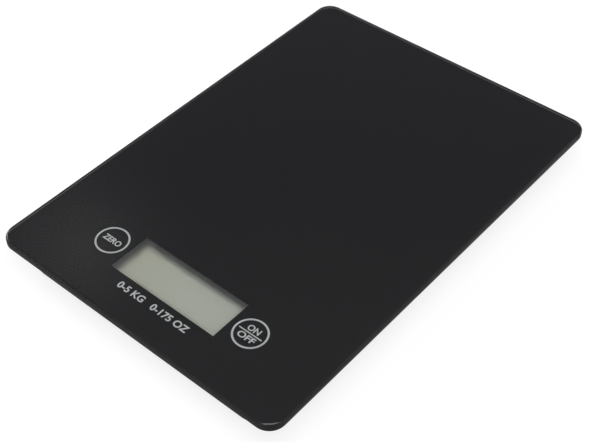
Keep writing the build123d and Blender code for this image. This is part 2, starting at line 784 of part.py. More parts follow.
# Battery cover, with a barrel and trunnions at the back and a flexing tongue at the front
with BuildPart() as battery_cover:
    with BuildSketch(Plane.YZ.offset(-cover_width / 2)):
        with Locations((hinge_y, hinge_z)):
            Circle(cover_thickness)
        with Locations(((latch_y + hinge_y) / 2, tray_bottom_z + cover_thickness / 2)):
            Rectangle(hinge_y - latch_y, cover_thickness)
    extrude(amount=cover_width)
    with BuildSketch(Plane.YZ.offset(-cover_width / 2 - trunnion_length)):
        with Locations((hinge_y, hinge_z)):
            Circle(trunnion_radius)
    extrude(amount=cover_width + 2 * trunnion_length)
    fillet(battery_cover.edges().filter_by(Axis.Z).group_by(Axis.Y)[0], cover_corner_radius)
    with BuildSketch(Plane.XY.offset(tray_bottom_z)):
        with Locations((0, latch_y + cover_slit_length / 2)):
            with GridLocations(cover_tongue_width, 0, 2, 1):
                Rectangle(cover_slit_width, cover_slit_length)
    extrude(amount=cover_thickness, mode=Mode.SUBTRACT)
    with BuildSketch(Plane.XY.offset(tray_bottom_z)):
        with Locations((0, latch_y + cover_slit_length + cover_grip_radius)):
            SlotCenterToCenter(cover_tongue_width, cover_grip_radius)
    extrude(amount=cover_grip_depth, mode=Mode.SUBTRACT)
save(battery_cover, "battery_cover")

# Foam pad on the cover, which presses the cell against its contacts
with BuildPart() as cover_pad:
    with BuildSketch(Plane.XY.offset(cover_top_z)):
        with Locations((0, battery_y)):
            Circle(cover_pad_radius)
    extrude(amount=cover_pad_thickness)
save(cover_pad, "cover_pad")

# Four load cells: spring plates clamped at one end, with a foot under the other
for corner, (sx, sy) in corners.items():
    with BuildPart() as load_cell:
        with BuildSketch(Plane.XY.offset(cell_bottom_z)):
            with Locations((sx * foot_x, sy * (cell_outer_y + cell_inner_y) / 2)):
                RectangleRounded(cell_width, cell_outer_y - cell_inner_y, cell_corner_radius)
            with Locations((sx * foot_x, sy * neck_y)):
                with GridLocations(cell_width, 0, 2, 1):
                    Circle(cell_neck_radius, mode=Mode.SUBTRACT)
            with Locations((sx * foot_x, sy * clamp_y)):
                with GridLocations(peg_spacing, 0, 2, 1):
                    Circle(peg_radius + peg_clearance, mode=Mode.SUBTRACT)
        extrude(amount=cell_thickness)
        with Locations((sx * foot_x, sy * foot_y, cell_top_z)):
            CounterSinkHole(
                foot_screw_radius + screw_clearance,
                foot_screw_head_radius + screw_clearance,
                cell_thickness,
                foot_screw_angle,
            )
    save(load_cell, f"load_cell_{corner}")

# Strain gauges under a soft coat, on the neck of each load cell
for corner, (sx, sy) in corners.items():
    with BuildPart() as strain_gauge:
        with BuildSketch(Plane.XY.offset(cell_top_z)):
            with Locations((sx * foot_x, sy * neck_y)):
                Rectangle(gauge_width, gauge_length)
        extrude(amount=gauge_thickness)
        fillet(strain_gauge.edges().filter_by(Axis.Z), gauge_thickness)
        chamfer(strain_gauge.faces().sort_by(Axis.Z)[-1].edges(), gauge_thickness / 2)
    save(strain_gauge, f"strain_gauge_{corner}")

# Feet: each passes through the tray and carries its load cell
pad_seat_z = pad_thickness
for corner, (sx, sy) in corners.items():
    with BuildPart() as foot:
        with BuildSketch(Plane.XY.offset(pad_exposed)):
            with Locations((sx * foot_x, sy * foot_y)):
                Circle(foot_radius)
        extrude(amount=floor_z - pad_exposed)
        fillet(foot.edges().filter_by(GeomType.CIRCLE), foot_edge_radius)
        with BuildSketch(Plane.XY.offset(floor_z)):
            with Locations((sx * foot_x, sy * foot_y)):
                Circle(foot_boss_radius)
        extrude(amount=cell_bottom_z - floor_z)
        with BuildSketch(Plane.XY.offset(pad_exposed)):
            with Locations((sx * foot_x, sy * foot_y)):
                Circle(pad_radius + pad_clearance)
        extrude(amount=pad_seat_z - pad_exposed, mode=Mode.SUBTRACT)
        with Locations((sx * foot_x, sy * foot_y, cell_bottom_z)):
            Hole(foot_screw_radius + thread_clearance, foot_screw_bite + thread_clearance)
    save(foot, f"foot_{corner}")

# Rubber pads, with a ring groove for grip
for corner, (sx, sy) in corners.items():
    with BuildPart() as foot_pad:
        with BuildSketch(Plane.XY):
            with Locations((sx * foot_x, sy * foot_y)):
                Circle(pad_radius)
        extrude(amount=pad_thickness)
        fillet(foot_pad.edges().group_by(Axis.Z)[0], pad_edge_radius)
        with BuildSketch(Plane.XY):
            with Locations((sx * foot_x, sy * foot_y)):
                Circle((pad_radius + pad_groove_width) / 2)
                Circle((pad_radius - pad_groove_width) / 2, mode=Mode.SUBTRACT)
        extrude(amount=pad_groove_depth, mode=Mode.SUBTRACT)
    save(foot_pad, f"foot_pad_{corner}")

# Countersunk screws from each load cell into its foot
screw_cone_height = foot_screw_head_radius - foot_screw_radius
for corner, (sx, sy) in corners.items():
    with BuildPart() as foot_screw:
        with BuildSketch(Plane.XY.offset(cell_top_z)):
            with Locations((sx * foot_x, sy * foot_y)):
                Circle(foot_screw_head_radius)
        with BuildSketch(Plane.XY.offset(cell_top_z - screw_cone_height)):
            with Locations((sx * foot_x, sy * foot_y)):
                Circle(foot_screw_radius)
        loft(ruled=True)
        with BuildSketch(Plane.XY.offset(cell_bottom_z - foot_screw_bite)):
            with Locations((sx * foot_x, sy * foot_y)):
                Circle(foot_screw_radius)
        extrude(amount=cell_thickness + foot_screw_bite - screw_cone_height)
        with BuildSketch(Plane.XY.offset(cell_top_z)):
            with Locations((sx * foot_x, sy * foot_y)):
                cross_slot(foot_screw_head_radius)
        extrude(amount=-slot_depth, mode=Mode.SUBTRACT)
    save(foot_screw, f"foot_screw_{corner}")

# Sensor leads: the front pair goes into the fronts of the plugs, the rear pair along the clips
for corner, (sx, sy) in corners.items():
    if sy < 0:
        bends = [
            (sx * lead_start_x, -neck_y, lead_z),
            (sx * plug_offset, -neck_y, lead_z),
            (sx * plug_offset, plug_y - plug_length / 2, lead_z),
        ]
    else:
        bends = [
            (sx * lead_start_x, neck_y, lead_z),
            (sx * run_x, neck_y, lead_z),
            (sx * run_x, board_rear_y + lead_crossing, lead_z),
            (sx * plug_offset, board_rear_y + lead_bend_radius, lead_z),
            (sx * plug_offset, plug_y + plug_length / 2, lead_z),
        ]
    with BuildPart() as sensor_lead:
        with BuildLine() as route:
            FilletPolyline(*bends, radius=lead_bend_radius)
        with BuildSketch(Plane(origin=route.line @ 0, z_dir=route.line % 0)):
            Circle(lead_radius)
        sweep()
    save(sensor_lead, f"sensor_lead_{corner}")
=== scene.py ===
import json
import math

import bmesh
import bpy
from bpy.props import FloatProperty, FloatVectorProperty, IntProperty, PointerProperty, StringProperty
from bpy.types import Operator, Panel, PropertyGroup
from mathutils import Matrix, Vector


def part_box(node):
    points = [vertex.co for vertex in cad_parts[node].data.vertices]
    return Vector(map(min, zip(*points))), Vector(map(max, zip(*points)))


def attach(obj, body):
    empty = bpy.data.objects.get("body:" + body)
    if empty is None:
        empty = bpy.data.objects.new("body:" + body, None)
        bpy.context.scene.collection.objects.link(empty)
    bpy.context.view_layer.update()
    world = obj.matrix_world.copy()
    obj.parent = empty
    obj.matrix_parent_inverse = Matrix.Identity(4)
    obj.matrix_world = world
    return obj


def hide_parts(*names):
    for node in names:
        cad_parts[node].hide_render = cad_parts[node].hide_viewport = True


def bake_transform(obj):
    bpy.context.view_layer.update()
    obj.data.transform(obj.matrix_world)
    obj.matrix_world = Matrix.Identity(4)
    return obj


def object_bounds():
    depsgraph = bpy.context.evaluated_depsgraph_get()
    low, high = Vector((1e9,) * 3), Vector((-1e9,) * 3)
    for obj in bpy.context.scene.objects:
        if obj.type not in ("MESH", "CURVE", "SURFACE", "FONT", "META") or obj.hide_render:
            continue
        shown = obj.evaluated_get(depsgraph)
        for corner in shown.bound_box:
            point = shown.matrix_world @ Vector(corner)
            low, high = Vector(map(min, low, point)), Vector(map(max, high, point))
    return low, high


bl_info = {
    "name": "Glass Kitchen Scale",
    "version": (1, 0, 0),
    "blender": (4, 5, 0),
    "location": "3D View > Sidebar > Scale",
    "description": "Glass, printed marks, finishes and stage of a slim kitchen scale",
    "category": "Object",
}

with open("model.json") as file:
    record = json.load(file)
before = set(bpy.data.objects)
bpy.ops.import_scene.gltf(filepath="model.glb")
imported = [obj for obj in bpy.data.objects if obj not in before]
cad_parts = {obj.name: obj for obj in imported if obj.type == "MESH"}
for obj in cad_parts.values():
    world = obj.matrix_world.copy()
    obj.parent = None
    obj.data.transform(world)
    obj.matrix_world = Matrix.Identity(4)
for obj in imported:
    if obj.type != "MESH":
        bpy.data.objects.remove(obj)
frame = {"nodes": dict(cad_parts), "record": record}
cad_low, cad_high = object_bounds()
glass_low, glass_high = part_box("glass_platform")
CASE = "case"
CORNERS = ("front_left", "front_right", "rear_left", "rear_right")

# Metres within which two vertices are one, and two heights are the same
MERGE_DISTANCE = 0.000001
SAME_HEIGHT = 0.00001
# How far up or down a unit normal points on a level face, and at least on a face that takes ink
LEVEL = 0.999
INKED = 0.75
# Sharpest angle between two faces that still look like one curve
SMOOTH_ANGLE = math.radians(30)
# Material slots of the glass, after the clear glass
INK_SLOT = 1
MATTED_SLOT = 2
# Faces round a ring and round a corner of the bar, and the share of the bar's width that a corner takes
RING_STEPS = 96
BAR_CORNER_STEPS = 4
BAR_CORNER_SHARE = 0.45
# Half the depth of the letters as they are first drawn
HALF_LETTER_DEPTH = 0.5

GLASS_IOR = 1.5
# Sockets of a Mix node that mixes colours
MIX_SHARE, MIX_FIRST, MIX_SECOND, MIX_RESULT = 0, 6, 7, 2
# Radians of a Wave node's pattern for each unit of its scale
WAVE_RADIANS = 20.0
# The area of the film that the painted shade of its recess leaves clear sits this far from the middle of
# the film, in metres
PAINTED_SHADE_SHIFT = Vector((0.0004, -0.0003, 0))
# Painted shadow of the recess round the display: metres in from the film's edge that the stops cover, and
# shares of them with how much of the film's colour is left there, the rest painted dark
PAINTED_SHADE_WIDTH = 0.01
PAINTED_SHADE_STOPS = ((0.17, 0.02), (0.27, 0.21), (0.39, 0.57), (0.55, 1.0))
# Shares of red, green and blue at the yellower and at the bluer side of the film
YELLOWER = (1.01, 0.99, 0.91)
BLUER = (1.01, 1.03, 1.08)
# Where a pale layer of the contact strip starts in a stripe
LAYER_STOPS = ((0.4, 0.0), (0.6, 1.0))

# Shares of the way to the floor's edge: up to the first it glows as set, from the second it is white
FLOOR_PLAIN = 0.08
FLOOR_WHITE = 0.4
# Heights of a direction over the horizon, with the ceiling's share of the light from there
CEILING_STOPS = ((0.26, 0.0), (0.50, 1.0), (0.69, 0.965), (0.78, 0.86))
# Width of the camera's sensor in millimetres, and the nearest that it sees in metres
SENSOR_WIDTH = 36.0
NEAREST_SEEN = 0.01


def middle_of(node):
    """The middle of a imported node's box."""
    low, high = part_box(node)
    return (low + high) / 2


class GlassSizes(PropertyGroup):
    """Sizes of the glass platform and of the clear window in its print."""

    corner_radius: FloatProperty(
        name="Corner radius", description="Radius of the corners from above", default=0.008, unit="LENGTH"
    )
    top_edge_radius: FloatProperty(
        name="Top edge", description="Radius of the polished upper edge", default=0.0012, unit="LENGTH"
    )
    under_edge_radius: FloatProperty(
        name="Under edge", description="Radius of the lower edge", default=0.0005, unit="LENGTH"
    )
    flat_rim: FloatProperty(
        name="Flat rim", description="Narrow flat face that keeps the shading of each flat side even",
        default=0.0002, unit="LENGTH",
    )
    window_width: FloatProperty(
        name="Window width", description="Clear window in the print, left to right",
        default=0.060, unit="LENGTH",
    )
    window_length: FloatProperty(
        name="Window length", description="Clear window in the print, front to back",
        default=0.0216, unit="LENGTH",
    )
    window_matting: FloatProperty(
        name="Window matting", description="Roughness of the matted underside of the window", default=0.45,
        min=0, max=1,
    )
    corner_steps: IntProperty(name="Corner steps", description="Faces round each corner", default=14, min=2)
    edge_steps: IntProperty(name="Edge steps", description="Faces round each edge", default=5, min=2)


def size_property(name, description, value):
    """A width and a height that a user would change."""
    return FloatVectorProperty(name=name, description=description, default=value, size=2, unit="LENGTH")


class MarkSizes(PropertyGroup):
    """Sizes and words of the pale marks printed under the glass."""

    thickness: FloatProperty(
        name="Thickness", description="Thickness of the ink", default=0.00003, unit="LENGTH"
    )
    ring_diameter: FloatProperty(
        name="Ring diameter", description="Outer diameter of a key's ring", default=0.0159, unit="LENGTH"
    )
    ring_line: FloatProperty(
        name="Ring line", description="Width of a ring's line", default=0.0009, unit="LENGTH"
    )
    bar_length: FloatProperty(
        name="Bar length", description="Bar across the right key", default=0.0122, unit="LENGTH"
    )
    bar_width: FloatProperty(
        name="Bar width", description="Width of that bar", default=0.0006, unit="LENGTH"
    )
    key_lead: FloatProperty(
        name="Key spacing", description="From the bar to the middle of a word",
        default=0.0025, unit="LENGTH",
    )
    range_from_front: FloatProperty(
        name="Range place", description="From the front edge to the middle of the range",
        default=0.0163, unit="LENGTH",
    )
    left_words: StringProperty(name="Left key", description="Words in the left ring", default="ZERO")
    left_size: size_property("Left size", "Width and height of those words", (0.0100, 0.0032))
    upper_words: StringProperty(name="Right key, above", description="Words above the bar", default="ON")
    upper_size: size_property("Upper size", "Width and height of those words", (0.0063, 0.0032))
    lower_words: StringProperty(name="Right key, below", description="Words below the bar", default="OFF")
    lower_size: size_property("Lower size", "Width and height of those words", (0.0088, 0.0032))
    range_words: StringProperty(
        name="Range", description="Words under the window", default="0-5 KG   0-175 OZ"
    )
    range_size: size_property("Range size", "Width and height of those words", (0.0404, 0.0037))
    letter_weight: FloatProperty(
        name="Letter weight", description="How much the letters are thickened", default=0.028
    )


class CellSizes(PropertyGroup):
    """Where each load cell is held, and so where it bends."""

    clamp_length: FloatProperty(
        name="Clamp length", description="Length of the plate held by the case",
        default=0.012, unit="LENGTH",
    )
    boss_radius: FloatProperty(
        name="Boss radius", description="Radius of the boss that the foot bears with", default=0.004,
        unit="LENGTH",
    )


def colour_property(name, description, value, most=1.0):
    """A colour that a user would change."""
    return FloatVectorProperty(
        name=name, description=description, default=value, subtype="COLOR", min=0, max=most
    )


class ScaleColours(PropertyGroup):
    """Colours of the surfaces that show most."""

    glass: colour_property("Glass", "Tint of the platform", (0.93, 0.96, 0.95))
    ink: colour_property("Black print", "Ink under the glass", (0.0120, 0.0120, 0.0127))
    mark: colour_property("Marks", "Pale ink of rings and words", (0.84, 0.84, 0.84))
    case: colour_property("Case", "Moulded plastic of the case", (0.011, 0.011, 0.0115))
    film: colour_property("Display film", "Front film of the display", (0.705, 0.685, 0.583))
    rubber: colour_property("Foot pads", "Rubber under the feet", (0.022, 0.022, 0.023))
    floor: colour_property("Floor", "Floor of the stage", (0.20, 0.20, 0.20))


def angle_property(name, description, degrees):
    """An angle that a user would change."""
    return FloatProperty(
        name=name, description=description, default=math.radians(degrees), subtype="ANGLE"
    )


class StageSettings(PropertyGroup):
    """Camera, lights and floor."""

    camera_place: FloatVectorProperty(
        name="Camera place", description="Where the camera stands",
        default=(0.25191, -0.30213, 0.38816), subtype="TRANSLATION", unit="LENGTH",
    )
    camera_turn: FloatVectorProperty(
        name="Camera turn", description="Rotation of the camera",
        default=(math.radians(44.6773), math.radians(1.4381), math.radians(41.5248)), subtype="EULER",
    )
    lens: FloatProperty(name="Lens", description="Focal length", default=70.605, unit="CAMERA")
    shift: FloatProperty(name="Shift", description="Sideways shift of the lens", default=0.0684)
    floor_size: FloatProperty(
        name="Floor size", description="Side of the floor", default=12.0, unit="LENGTH"
    )
    floor_glow: FloatProperty(
        name="Floor glow", description="Whiteness added to the floor as the camera sees it", default=0.83
    )
    mirrored_glow: FloatProperty(
        name="Mirrored glow", description="Whiteness added to the floor as mirrors and glass see it",
        default=0.06,
    )
    softbox_place: FloatVectorProperty(
        name="Softbox place", description="Middle of the light overhead",
        default=(0.45, -0.5, 1.9), subtype="TRANSLATION", unit="LENGTH",
    )
    softbox_size: FloatProperty(
        name="Softbox size", description="Diameter of that light", default=1.8, unit="LENGTH"
    )
    softbox_power: FloatProperty(name="Softbox power", description="Its power", default=26.0, unit="POWER")
    wall: colour_property("Wall", "Light from the studio walls", (1.0, 1.0, 1.0))
    ceiling: colour_property("Ceiling", "Light from the studio ceiling", (0.22, 0.22, 0.24))
    glow: colour_property("Glow", "Light from the soft patch on the left", (4.0, 4.0, 4.0), 10.0)
    glow_turn: angle_property("Glow turn", "Direction of that patch, from the right", 176)
    glow_height: angle_property("Glow height", "Height of that patch over the horizon", 28)
    glow_focus: FloatProperty(name="Glow focus", description="How narrow that patch is", default=40.0)
    gleam: colour_property("Gleam", "Faint patch that the top mirrors by the left key", (0.26, 0.26, 0.26))
    gleam_turn: angle_property("Gleam turn", "Direction of that patch, from the right", 145.3)
    gleam_height: angle_property("Gleam height", "Height of that patch over the horizon", 45.6)
    gleam_focus: FloatProperty(name="Gleam focus", description="How narrow that patch is", default=800.0)


class Wire:
    """A node's output. Arithmetic on it adds Math nodes, so that a finish reads as a formula."""

    def __init__(self, nodes, output):
        self.nodes = nodes
        self.output = output

    def maths(self, operation, first, second):
        return self.nodes.add("ShaderNodeMath", {"operation": operation}, {0: first, 1: second})

    def __add__(self, other):
        return self.maths("ADD", self, other)

    def __radd__(self, other):
        return self.maths("ADD", other, self)

    def __sub__(self, other):
        return self.maths("SUBTRACT", self, other)

    def __rsub__(self, other):
        return self.maths("SUBTRACT", other, self)

    def __mul__(self, other):
        return self.maths("MULTIPLY", self, other)

    def __rmul__(self, other):
        return self.maths("MULTIPLY", other, self)

    def __pow__(self, other):
        return self.maths("POWER", self, other)

    def __abs__(self):
        return self.maths("ABSOLUTE", self, 0.0)


class Nodes:
    """The node tree of a finish, with one way to add to it."""

    def __init__(self, tree):
        self.tree = tree

    def add(self, kind, settings=None, inputs=None, output=0):
        """Add a node, set it up, feed its sockets and give one of its outputs."""
        node = self.tree.nodes.new(kind)
        for name, value in (settings or {}).items():
            if name == "stops":
                self.set_stops(node.color_ramp, value)
            else:
                setattr(node, name, value)
        self.feed(node, inputs or {})
        return Wire(self, node.outputs[output])

    def set_stops(self, ramp, stops):
        """Give a ramp its stops, each a place and a grey level."""
        while len(ramp.elements) < len(stops):
            ramp.elements.new(1.0)
        for element, (place, level) in zip(ramp.elements, stops):
            element.position = place
            element.color = (level, level, level, 1.0)

    def feed(self, node, inputs):
        """Link or set a node's sockets."""
        for name, value in inputs.items():
            if isinstance(value, Wire):
                self.tree.links.new(value.output, node.inputs[name])
            else:
                node.inputs[name].default_value = value

    def place(self, stretch=(1.0, 1.0, 1.0), origin=(0.0, 0.0, 0.0)):
        """Object coordinates in metres, stretched along each axis, from an origin."""
        coordinates = self.add("ShaderNodeTexCoord", output="Object")
        shifted = self.add("ShaderNodeVectorMath", {"operation": "SUBTRACT"}, {0: coordinates, 1: origin})
        return self.add("ShaderNodeVectorMath", {"operation": "MULTIPLY"}, {0: shifted, 1: stretch})

    def noise(self, size, detail=2.0, stretch=(1.0, 1.0, 1.0)):
        """Cloudy noise with patches of about this size in metres."""
        return self.add(
            "ShaderNodeTexNoise", None, {"Vector": self.place(stretch), "Scale": 1 / size, "Detail": detail}
        )

    def cells(self, size):
        """Distance to the middle of the nearest cell, for foam."""
        return self.add("ShaderNodeTexVoronoi", None, {"Vector": self.place(), "Scale": 1 / size})

    def stripes(self, pitch, axis):
        """Bands of this pitch along an axis, in metres."""
        settings = {"wave_type": "BANDS", "bands_direction": axis, "wave_profile": "SIN"}
        scale = math.tau / (WAVE_RADIANS * pitch)
        inputs = {"Vector": self.place(), "Scale": scale}
        return self.add("ShaderNodeTexWave", settings, inputs, output="Fac")

    def ramp(self, value, stops):
        """A value put through grey stops."""
        return self.add("ShaderNodeValToRGB", {"stops": stops}, {0: value})

    def tint(self, share, first, second):
        """A colour between two others."""
        return self.add(
            "ShaderNodeMix", {"data_type": "RGBA"},
            {MIX_SHARE: share, MIX_FIRST: opaque(first), MIX_SECOND: opaque(second)}, output=MIX_RESULT,
        )

    def bump(self, height, depth, strength=1.0):
        """A bumped normal from a height of this depth in metres."""
        return self.add("ShaderNodeBump", None, {"Height": height, "Distance": depth, "Strength": strength})


def opaque(colour):
    """A colour as red, green, blue and an alpha of one."""
    return colour if isinstance(colour, Wire) else (*colour[:3], 1.0)


def shade(colour, share):
    """A colour made lighter or darker."""
    return tuple(min(1.0, channel * share) for channel in colour[:3])


def swing(pattern, spread):
    """A pattern between 0 and 1 as a swing of this spread about nothing."""
    return spread * (pattern - 0.5)


def mixed(first, second, share):
    """Two patterns added up, the first with this share."""
    return first * share + second * (1 - share)


def new_finish(name, constants=None):
    """A material with its nodes and its main shader."""
    material = bpy.data.materials.new(name)
    material.use_nodes = True
    nodes = Nodes(material.node_tree)
    shader = material.node_tree.nodes["Principled BSDF"]
    nodes.feed(shader, constants or {})
    return material, nodes, shader


def polished_glass(name, tint, roughness=0.004, haze_roughness=0.014):
    """Clear float glass with the faint haze of wiping."""
    material, nodes, shader = new_finish(name, {"Transmission Weight": 1.0, "IOR": GLASS_IOR})
    haze = nodes.noise(size=0.045, detail=3.0, stretch=(1.0, 0.35, 1.0))
    nodes.feed(shader, {
        "Base Color": nodes.tint(haze, shade(tint, share=0.985), tint),
        "Roughness": roughness + haze_roughness * haze,
    })
    return material


def screen_ink(name, colour, spread, roughness):
    """Screen-printed ink with a slight mottle."""
    material, nodes, shader = new_finish(name, {"Specular IOR Level": 0.02})
    mottle = nodes.noise(size=0.0006)
    cloud = nodes.noise(size=0.03)
    darker = shade(colour, share=1 - spread)
    lighter = shade(colour, share=1 + spread)
    nodes.feed(shader, {
        "Base Color": nodes.tint(mixed(mottle, cloud, share=0.6), darker, lighter),
        "Roughness": roughness + swing(mottle, spread=0.1),
    })
    return material


def moulded_plastic(name, colour, roughness=0.5, grain=0.0004, depth=0.00003):
    """Injection-moulded plastic with a fine spark-eroded grain."""
    material, nodes, shader = new_finish(name, {"Specular IOR Level": 0.45})
    cloud = nodes.noise(size=0.02, detail=3.0)
    texture = nodes.noise(size=grain)
    nodes.feed(shader, {
        "Base Color": nodes.tint(cloud, shade(colour, share=0.85), shade(colour, share=1.2)),
        "Roughness": roughness + swing(cloud, spread=0.14) + swing(texture, spread=0.1),
        "Normal": nodes.bump(texture, depth, strength=0.5),
    })
    return material


def worked_metal(name, colour, roughness, lay):
    """Metal with a fine grain, drawn out into lines along an axis where lay is small."""
    material, nodes, shader = new_finish(name, {"Metallic": 1.0})
    lines = nodes.noise(size=0.0002, detail=3.0, stretch=lay)
    cloud = nodes.noise(size=0.004)
    nodes.feed(shader, {
        "Base Color": nodes.tint(
            mixed(lines, cloud, share=0.5), shade(colour, share=0.82), shade(colour, share=1.1)
        ),
        "Roughness": roughness + swing(lines, spread=0.16) + swing(cloud, spread=0.08),
        "Normal": nodes.bump(lines, depth=0.000008, strength=0.4),
    })
    return material


def soft_rubber(name, colour, roughness=0.75):
    """Moulded rubber with a dusty, uneven face."""
    material, nodes, shader = new_finish(name, {"Specular IOR Level": 0.35})
    dust = nodes.noise(size=0.003, detail=4.0)
    pores = nodes.noise(size=0.00025)
    nodes.feed(shader, {
        "Base Color": nodes.tint(dust, shade(colour, share=0.75), shade(colour, share=1.5)),
        "Roughness": roughness + swing(dust, spread=0.2),
        "Normal": nodes.bump(pores, depth=0.00003, strength=0.6),
    })
    return material


def cell_foam(name, colour, cell, roughness=0.9):
    """Closed-cell foam."""
    material, nodes, shader = new_finish(name, {"Specular IOR Level": 0.2})
    cells = nodes.cells(cell)
    nodes.feed(shader, {
        "Base Color": nodes.tint(cells, shade(colour, share=1.3), shade(colour, share=0.6)),
        "Roughness": roughness + swing(cells, spread=0.1),
        "Normal": nodes.bump(cells, depth=cell / 3, strength=0.7),
    })
    return material


def lead_sleeve(name, colour, roughness=0.38):
    """Soft sleeve of a thin lead."""
    material, nodes, shader = new_finish(name, {"Specular IOR Level": 0.5})
    cloud = nodes.noise(size=0.002, detail=3.0)
    nodes.feed(shader, {
        "Base Color": nodes.tint(cloud, shade(colour, share=0.85), shade(colour, share=1.15)),
        "Roughness": roughness + swing(cloud, spread=0.15),
        "Normal": nodes.bump(cloud, depth=0.00004, strength=0.4),
    })
    return material


def display_glass(name, colour, roughness=0.03):
    """Thin clear glass of the display."""
    material, nodes, shader = new_finish(name, {"Transmission Weight": 0.9, "IOR": GLASS_IOR})
    haze = nodes.noise(size=0.01)
    nodes.feed(shader, {
        "Base Color": nodes.tint(haze, shade(colour, share=0.96), colour),
        "Roughness": roughness + swing(haze, spread=0.02),
    })
    return material


def display_film(name, colour, roughness=0.5):
    """Satin grey-green film of the display: yellower on the left, bluer on the right, with painted shadow
    of its recess at its edge.
    """
    material, nodes, shader = new_finish(name, {"Specular IOR Level": 0.3})
    low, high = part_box("lcd_polariser")
    half = (high - low) / 2
    place = nodes.place(origin=(low + high) / 2 + PAINTED_SHADE_SHIFT)
    sideways, lengthways = (
        nodes.add("ShaderNodeSeparateXYZ", None, {0: place}, output=axis) for axis in ("X", "Y")
    )
    from_edge = nodes.add(
        "ShaderNodeMath", {"operation": "MINIMUM"}, {0: half.x - abs(sideways), 1: half.y - abs(lengthways)}
    )
    # Painted shade: the film turns almost black within a few millimetres of its edge, standing in for the
    # shadow of the recess under the glass
    painted_light_share = nodes.ramp(from_edge * (1 / PAINTED_SHADE_WIDTH), PAINTED_SHADE_STOPS)
    from_left = (sideways + half.x) * (1 / (2 * half.x))
    cloud = nodes.noise(size=0.022, detail=1.0)
    fine = nodes.noise(size=0.0008)
    yellower, bluer = (
        tuple(channel * share for channel, share in zip(colour, shares)) for shares in (YELLOWER, BLUER)
    )
    film = nodes.tint(mixed(from_left, mixed(cloud, fine, share=5 / 6), share=0.7), yellower, bluer)
    nodes.feed(shader, {
        # The painted shadow at the edge is a near-black copy of the film's colour
        "Base Color": nodes.tint(painted_light_share, shade(colour, share=0.02), film),
        "Roughness": roughness + swing(fine, spread=0.1),
    })
    return material


def layered_rubber(name, colour, roughness=0.7):
    """Contact strip of black and pale rubber layers."""
    material, nodes, shader = new_finish(name, {"Specular IOR Level": 0.3})
    layers = nodes.ramp(nodes.stripes(pitch=0.0005, axis="X"), LAYER_STOPS)
    fine = nodes.noise(size=0.0006)
    nodes.feed(shader, {
        "Base Color": nodes.tint(layers, shade(colour, share=0.1), shade(colour, share=2.2)),
        "Roughness": roughness + swing(fine, spread=0.15),
    })
    return material


def board_laminate(name, colour, roughness=0.42):
    """Green solder mask over copper tracks."""
    material, nodes, shader = new_finish(name, {"Specular IOR Level": 0.5})
    bricks = {"Scale": 260.0, "Mortar Size": 0.03, "Brick Width": 0.9, "Row Height": 0.3}
    tracks = nodes.add(
        "ShaderNodeTexBrick", {"offset": 0.35}, {"Vector": nodes.place(), **bricks}, output="Fac"
    )
    weave = nodes.noise(size=0.0004)
    nodes.feed(shader, {
        "Base Color": nodes.tint(
            mixed(tracks, weave, share=0.8), shade(colour, share=0.8), shade(colour, share=2.0)
        ),
        "Roughness": roughness + swing(weave, spread=0.12),
        "Normal": nodes.bump(tracks, depth=0.00004, strength=0.5),
    })
    return material


def node_finishes(colours):
    """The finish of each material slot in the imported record."""
    stored = {row["slot"]: row["base_color"] for row in frame["record"]["materials"]}
    along_y = (1.0, 0.03, 1.0)
    even = (1.0, 1.0, 1.0)
    return {
        "platform_glass": polished_glass("polished_glass", colours.glass),
        "black_print": screen_ink("black_ink", colours.ink, spread=0.06, roughness=0.45),
        "tape_foam": cell_foam("tape_foam", stored["tape_foam"], cell=0.0004),
        "case_plastic": moulded_plastic("case_plastic", colours.case),
        "bezel_plastic": moulded_plastic("bezel_plastic", stored["bezel_plastic"], roughness=0.6),
        "display_glass": display_glass("display_glass", stored["display_glass"]),
        "display_film": display_film("display_film", colours.film),
        "display_reflector": display_film("display_reflector", stored["display_reflector"]),
        "zebra_rubber": layered_rubber("layered_rubber", stored["zebra_rubber"]),
        "board_laminate": board_laminate("board_laminate", stored["board_laminate"]),
        "chip_resin": moulded_plastic(
            "chip_resin", stored["chip_resin"], roughness=0.25, grain=0.002, depth=0.00005
        ),
        "component_ceramic": moulded_plastic(
            "component_ceramic", stored["component_ceramic"], roughness=0.4, grain=0.0003
        ),
        "plug_nylon": moulded_plastic("plug_nylon", stored["plug_nylon"], roughness=0.45),
        "spring_wire": worked_metal("spring_wire", stored["spring_wire"], roughness=0.28, lay=even),
        "contact_nickel": worked_metal(
            "contact_nickel", stored["contact_nickel"], roughness=0.22, lay=along_y
        ),
        "coin_steel": worked_metal("coin_steel", stored["coin_steel"], roughness=0.24, lay=even),
        "screw_steel": worked_metal("screw_steel", stored["screw_steel"], roughness=0.38, lay=even),
        "cell_steel": worked_metal("cell_steel", stored["cell_steel"], roughness=0.34, lay=along_y),
        "gauge_coat": lead_sleeve("gauge_coat", stored["gauge_coat"]),
        "lead_grey": lead_sleeve("lead_grey", stored["lead_grey"]),
        "lead_red": lead_sleeve("lead_red", stored["lead_red"]),
        "lead_black": lead_sleeve("lead_black", stored["lead_black"]),
        "foot_rubber": soft_rubber("foot_rubber", colours.rubber),
        "cover_foam": cell_foam("cover_foam", stored["cover_foam"], cell=0.0006),
    }


def dress(piece, *materials):
    """Give a piece these materials and no others."""
    piece.data.materials.clear()
    for material in materials:
        piece.data.materials.append(material)


def start_clean():
    """Object mode with nothing selected."""
    if bpy.context.mode != "OBJECT":
        bpy.ops.object.mode_set(mode="OBJECT")
    bpy.ops.object.select_all(action="DESELECT")


def name_piece(name):
    """Name the object that was just added, and put its place into its mesh."""
    piece = bpy.context.object
    piece.name = name
    piece.data.name = name
    bpy.ops.object.transform_apply(location=True, rotation=True, scale=True)
    return piece


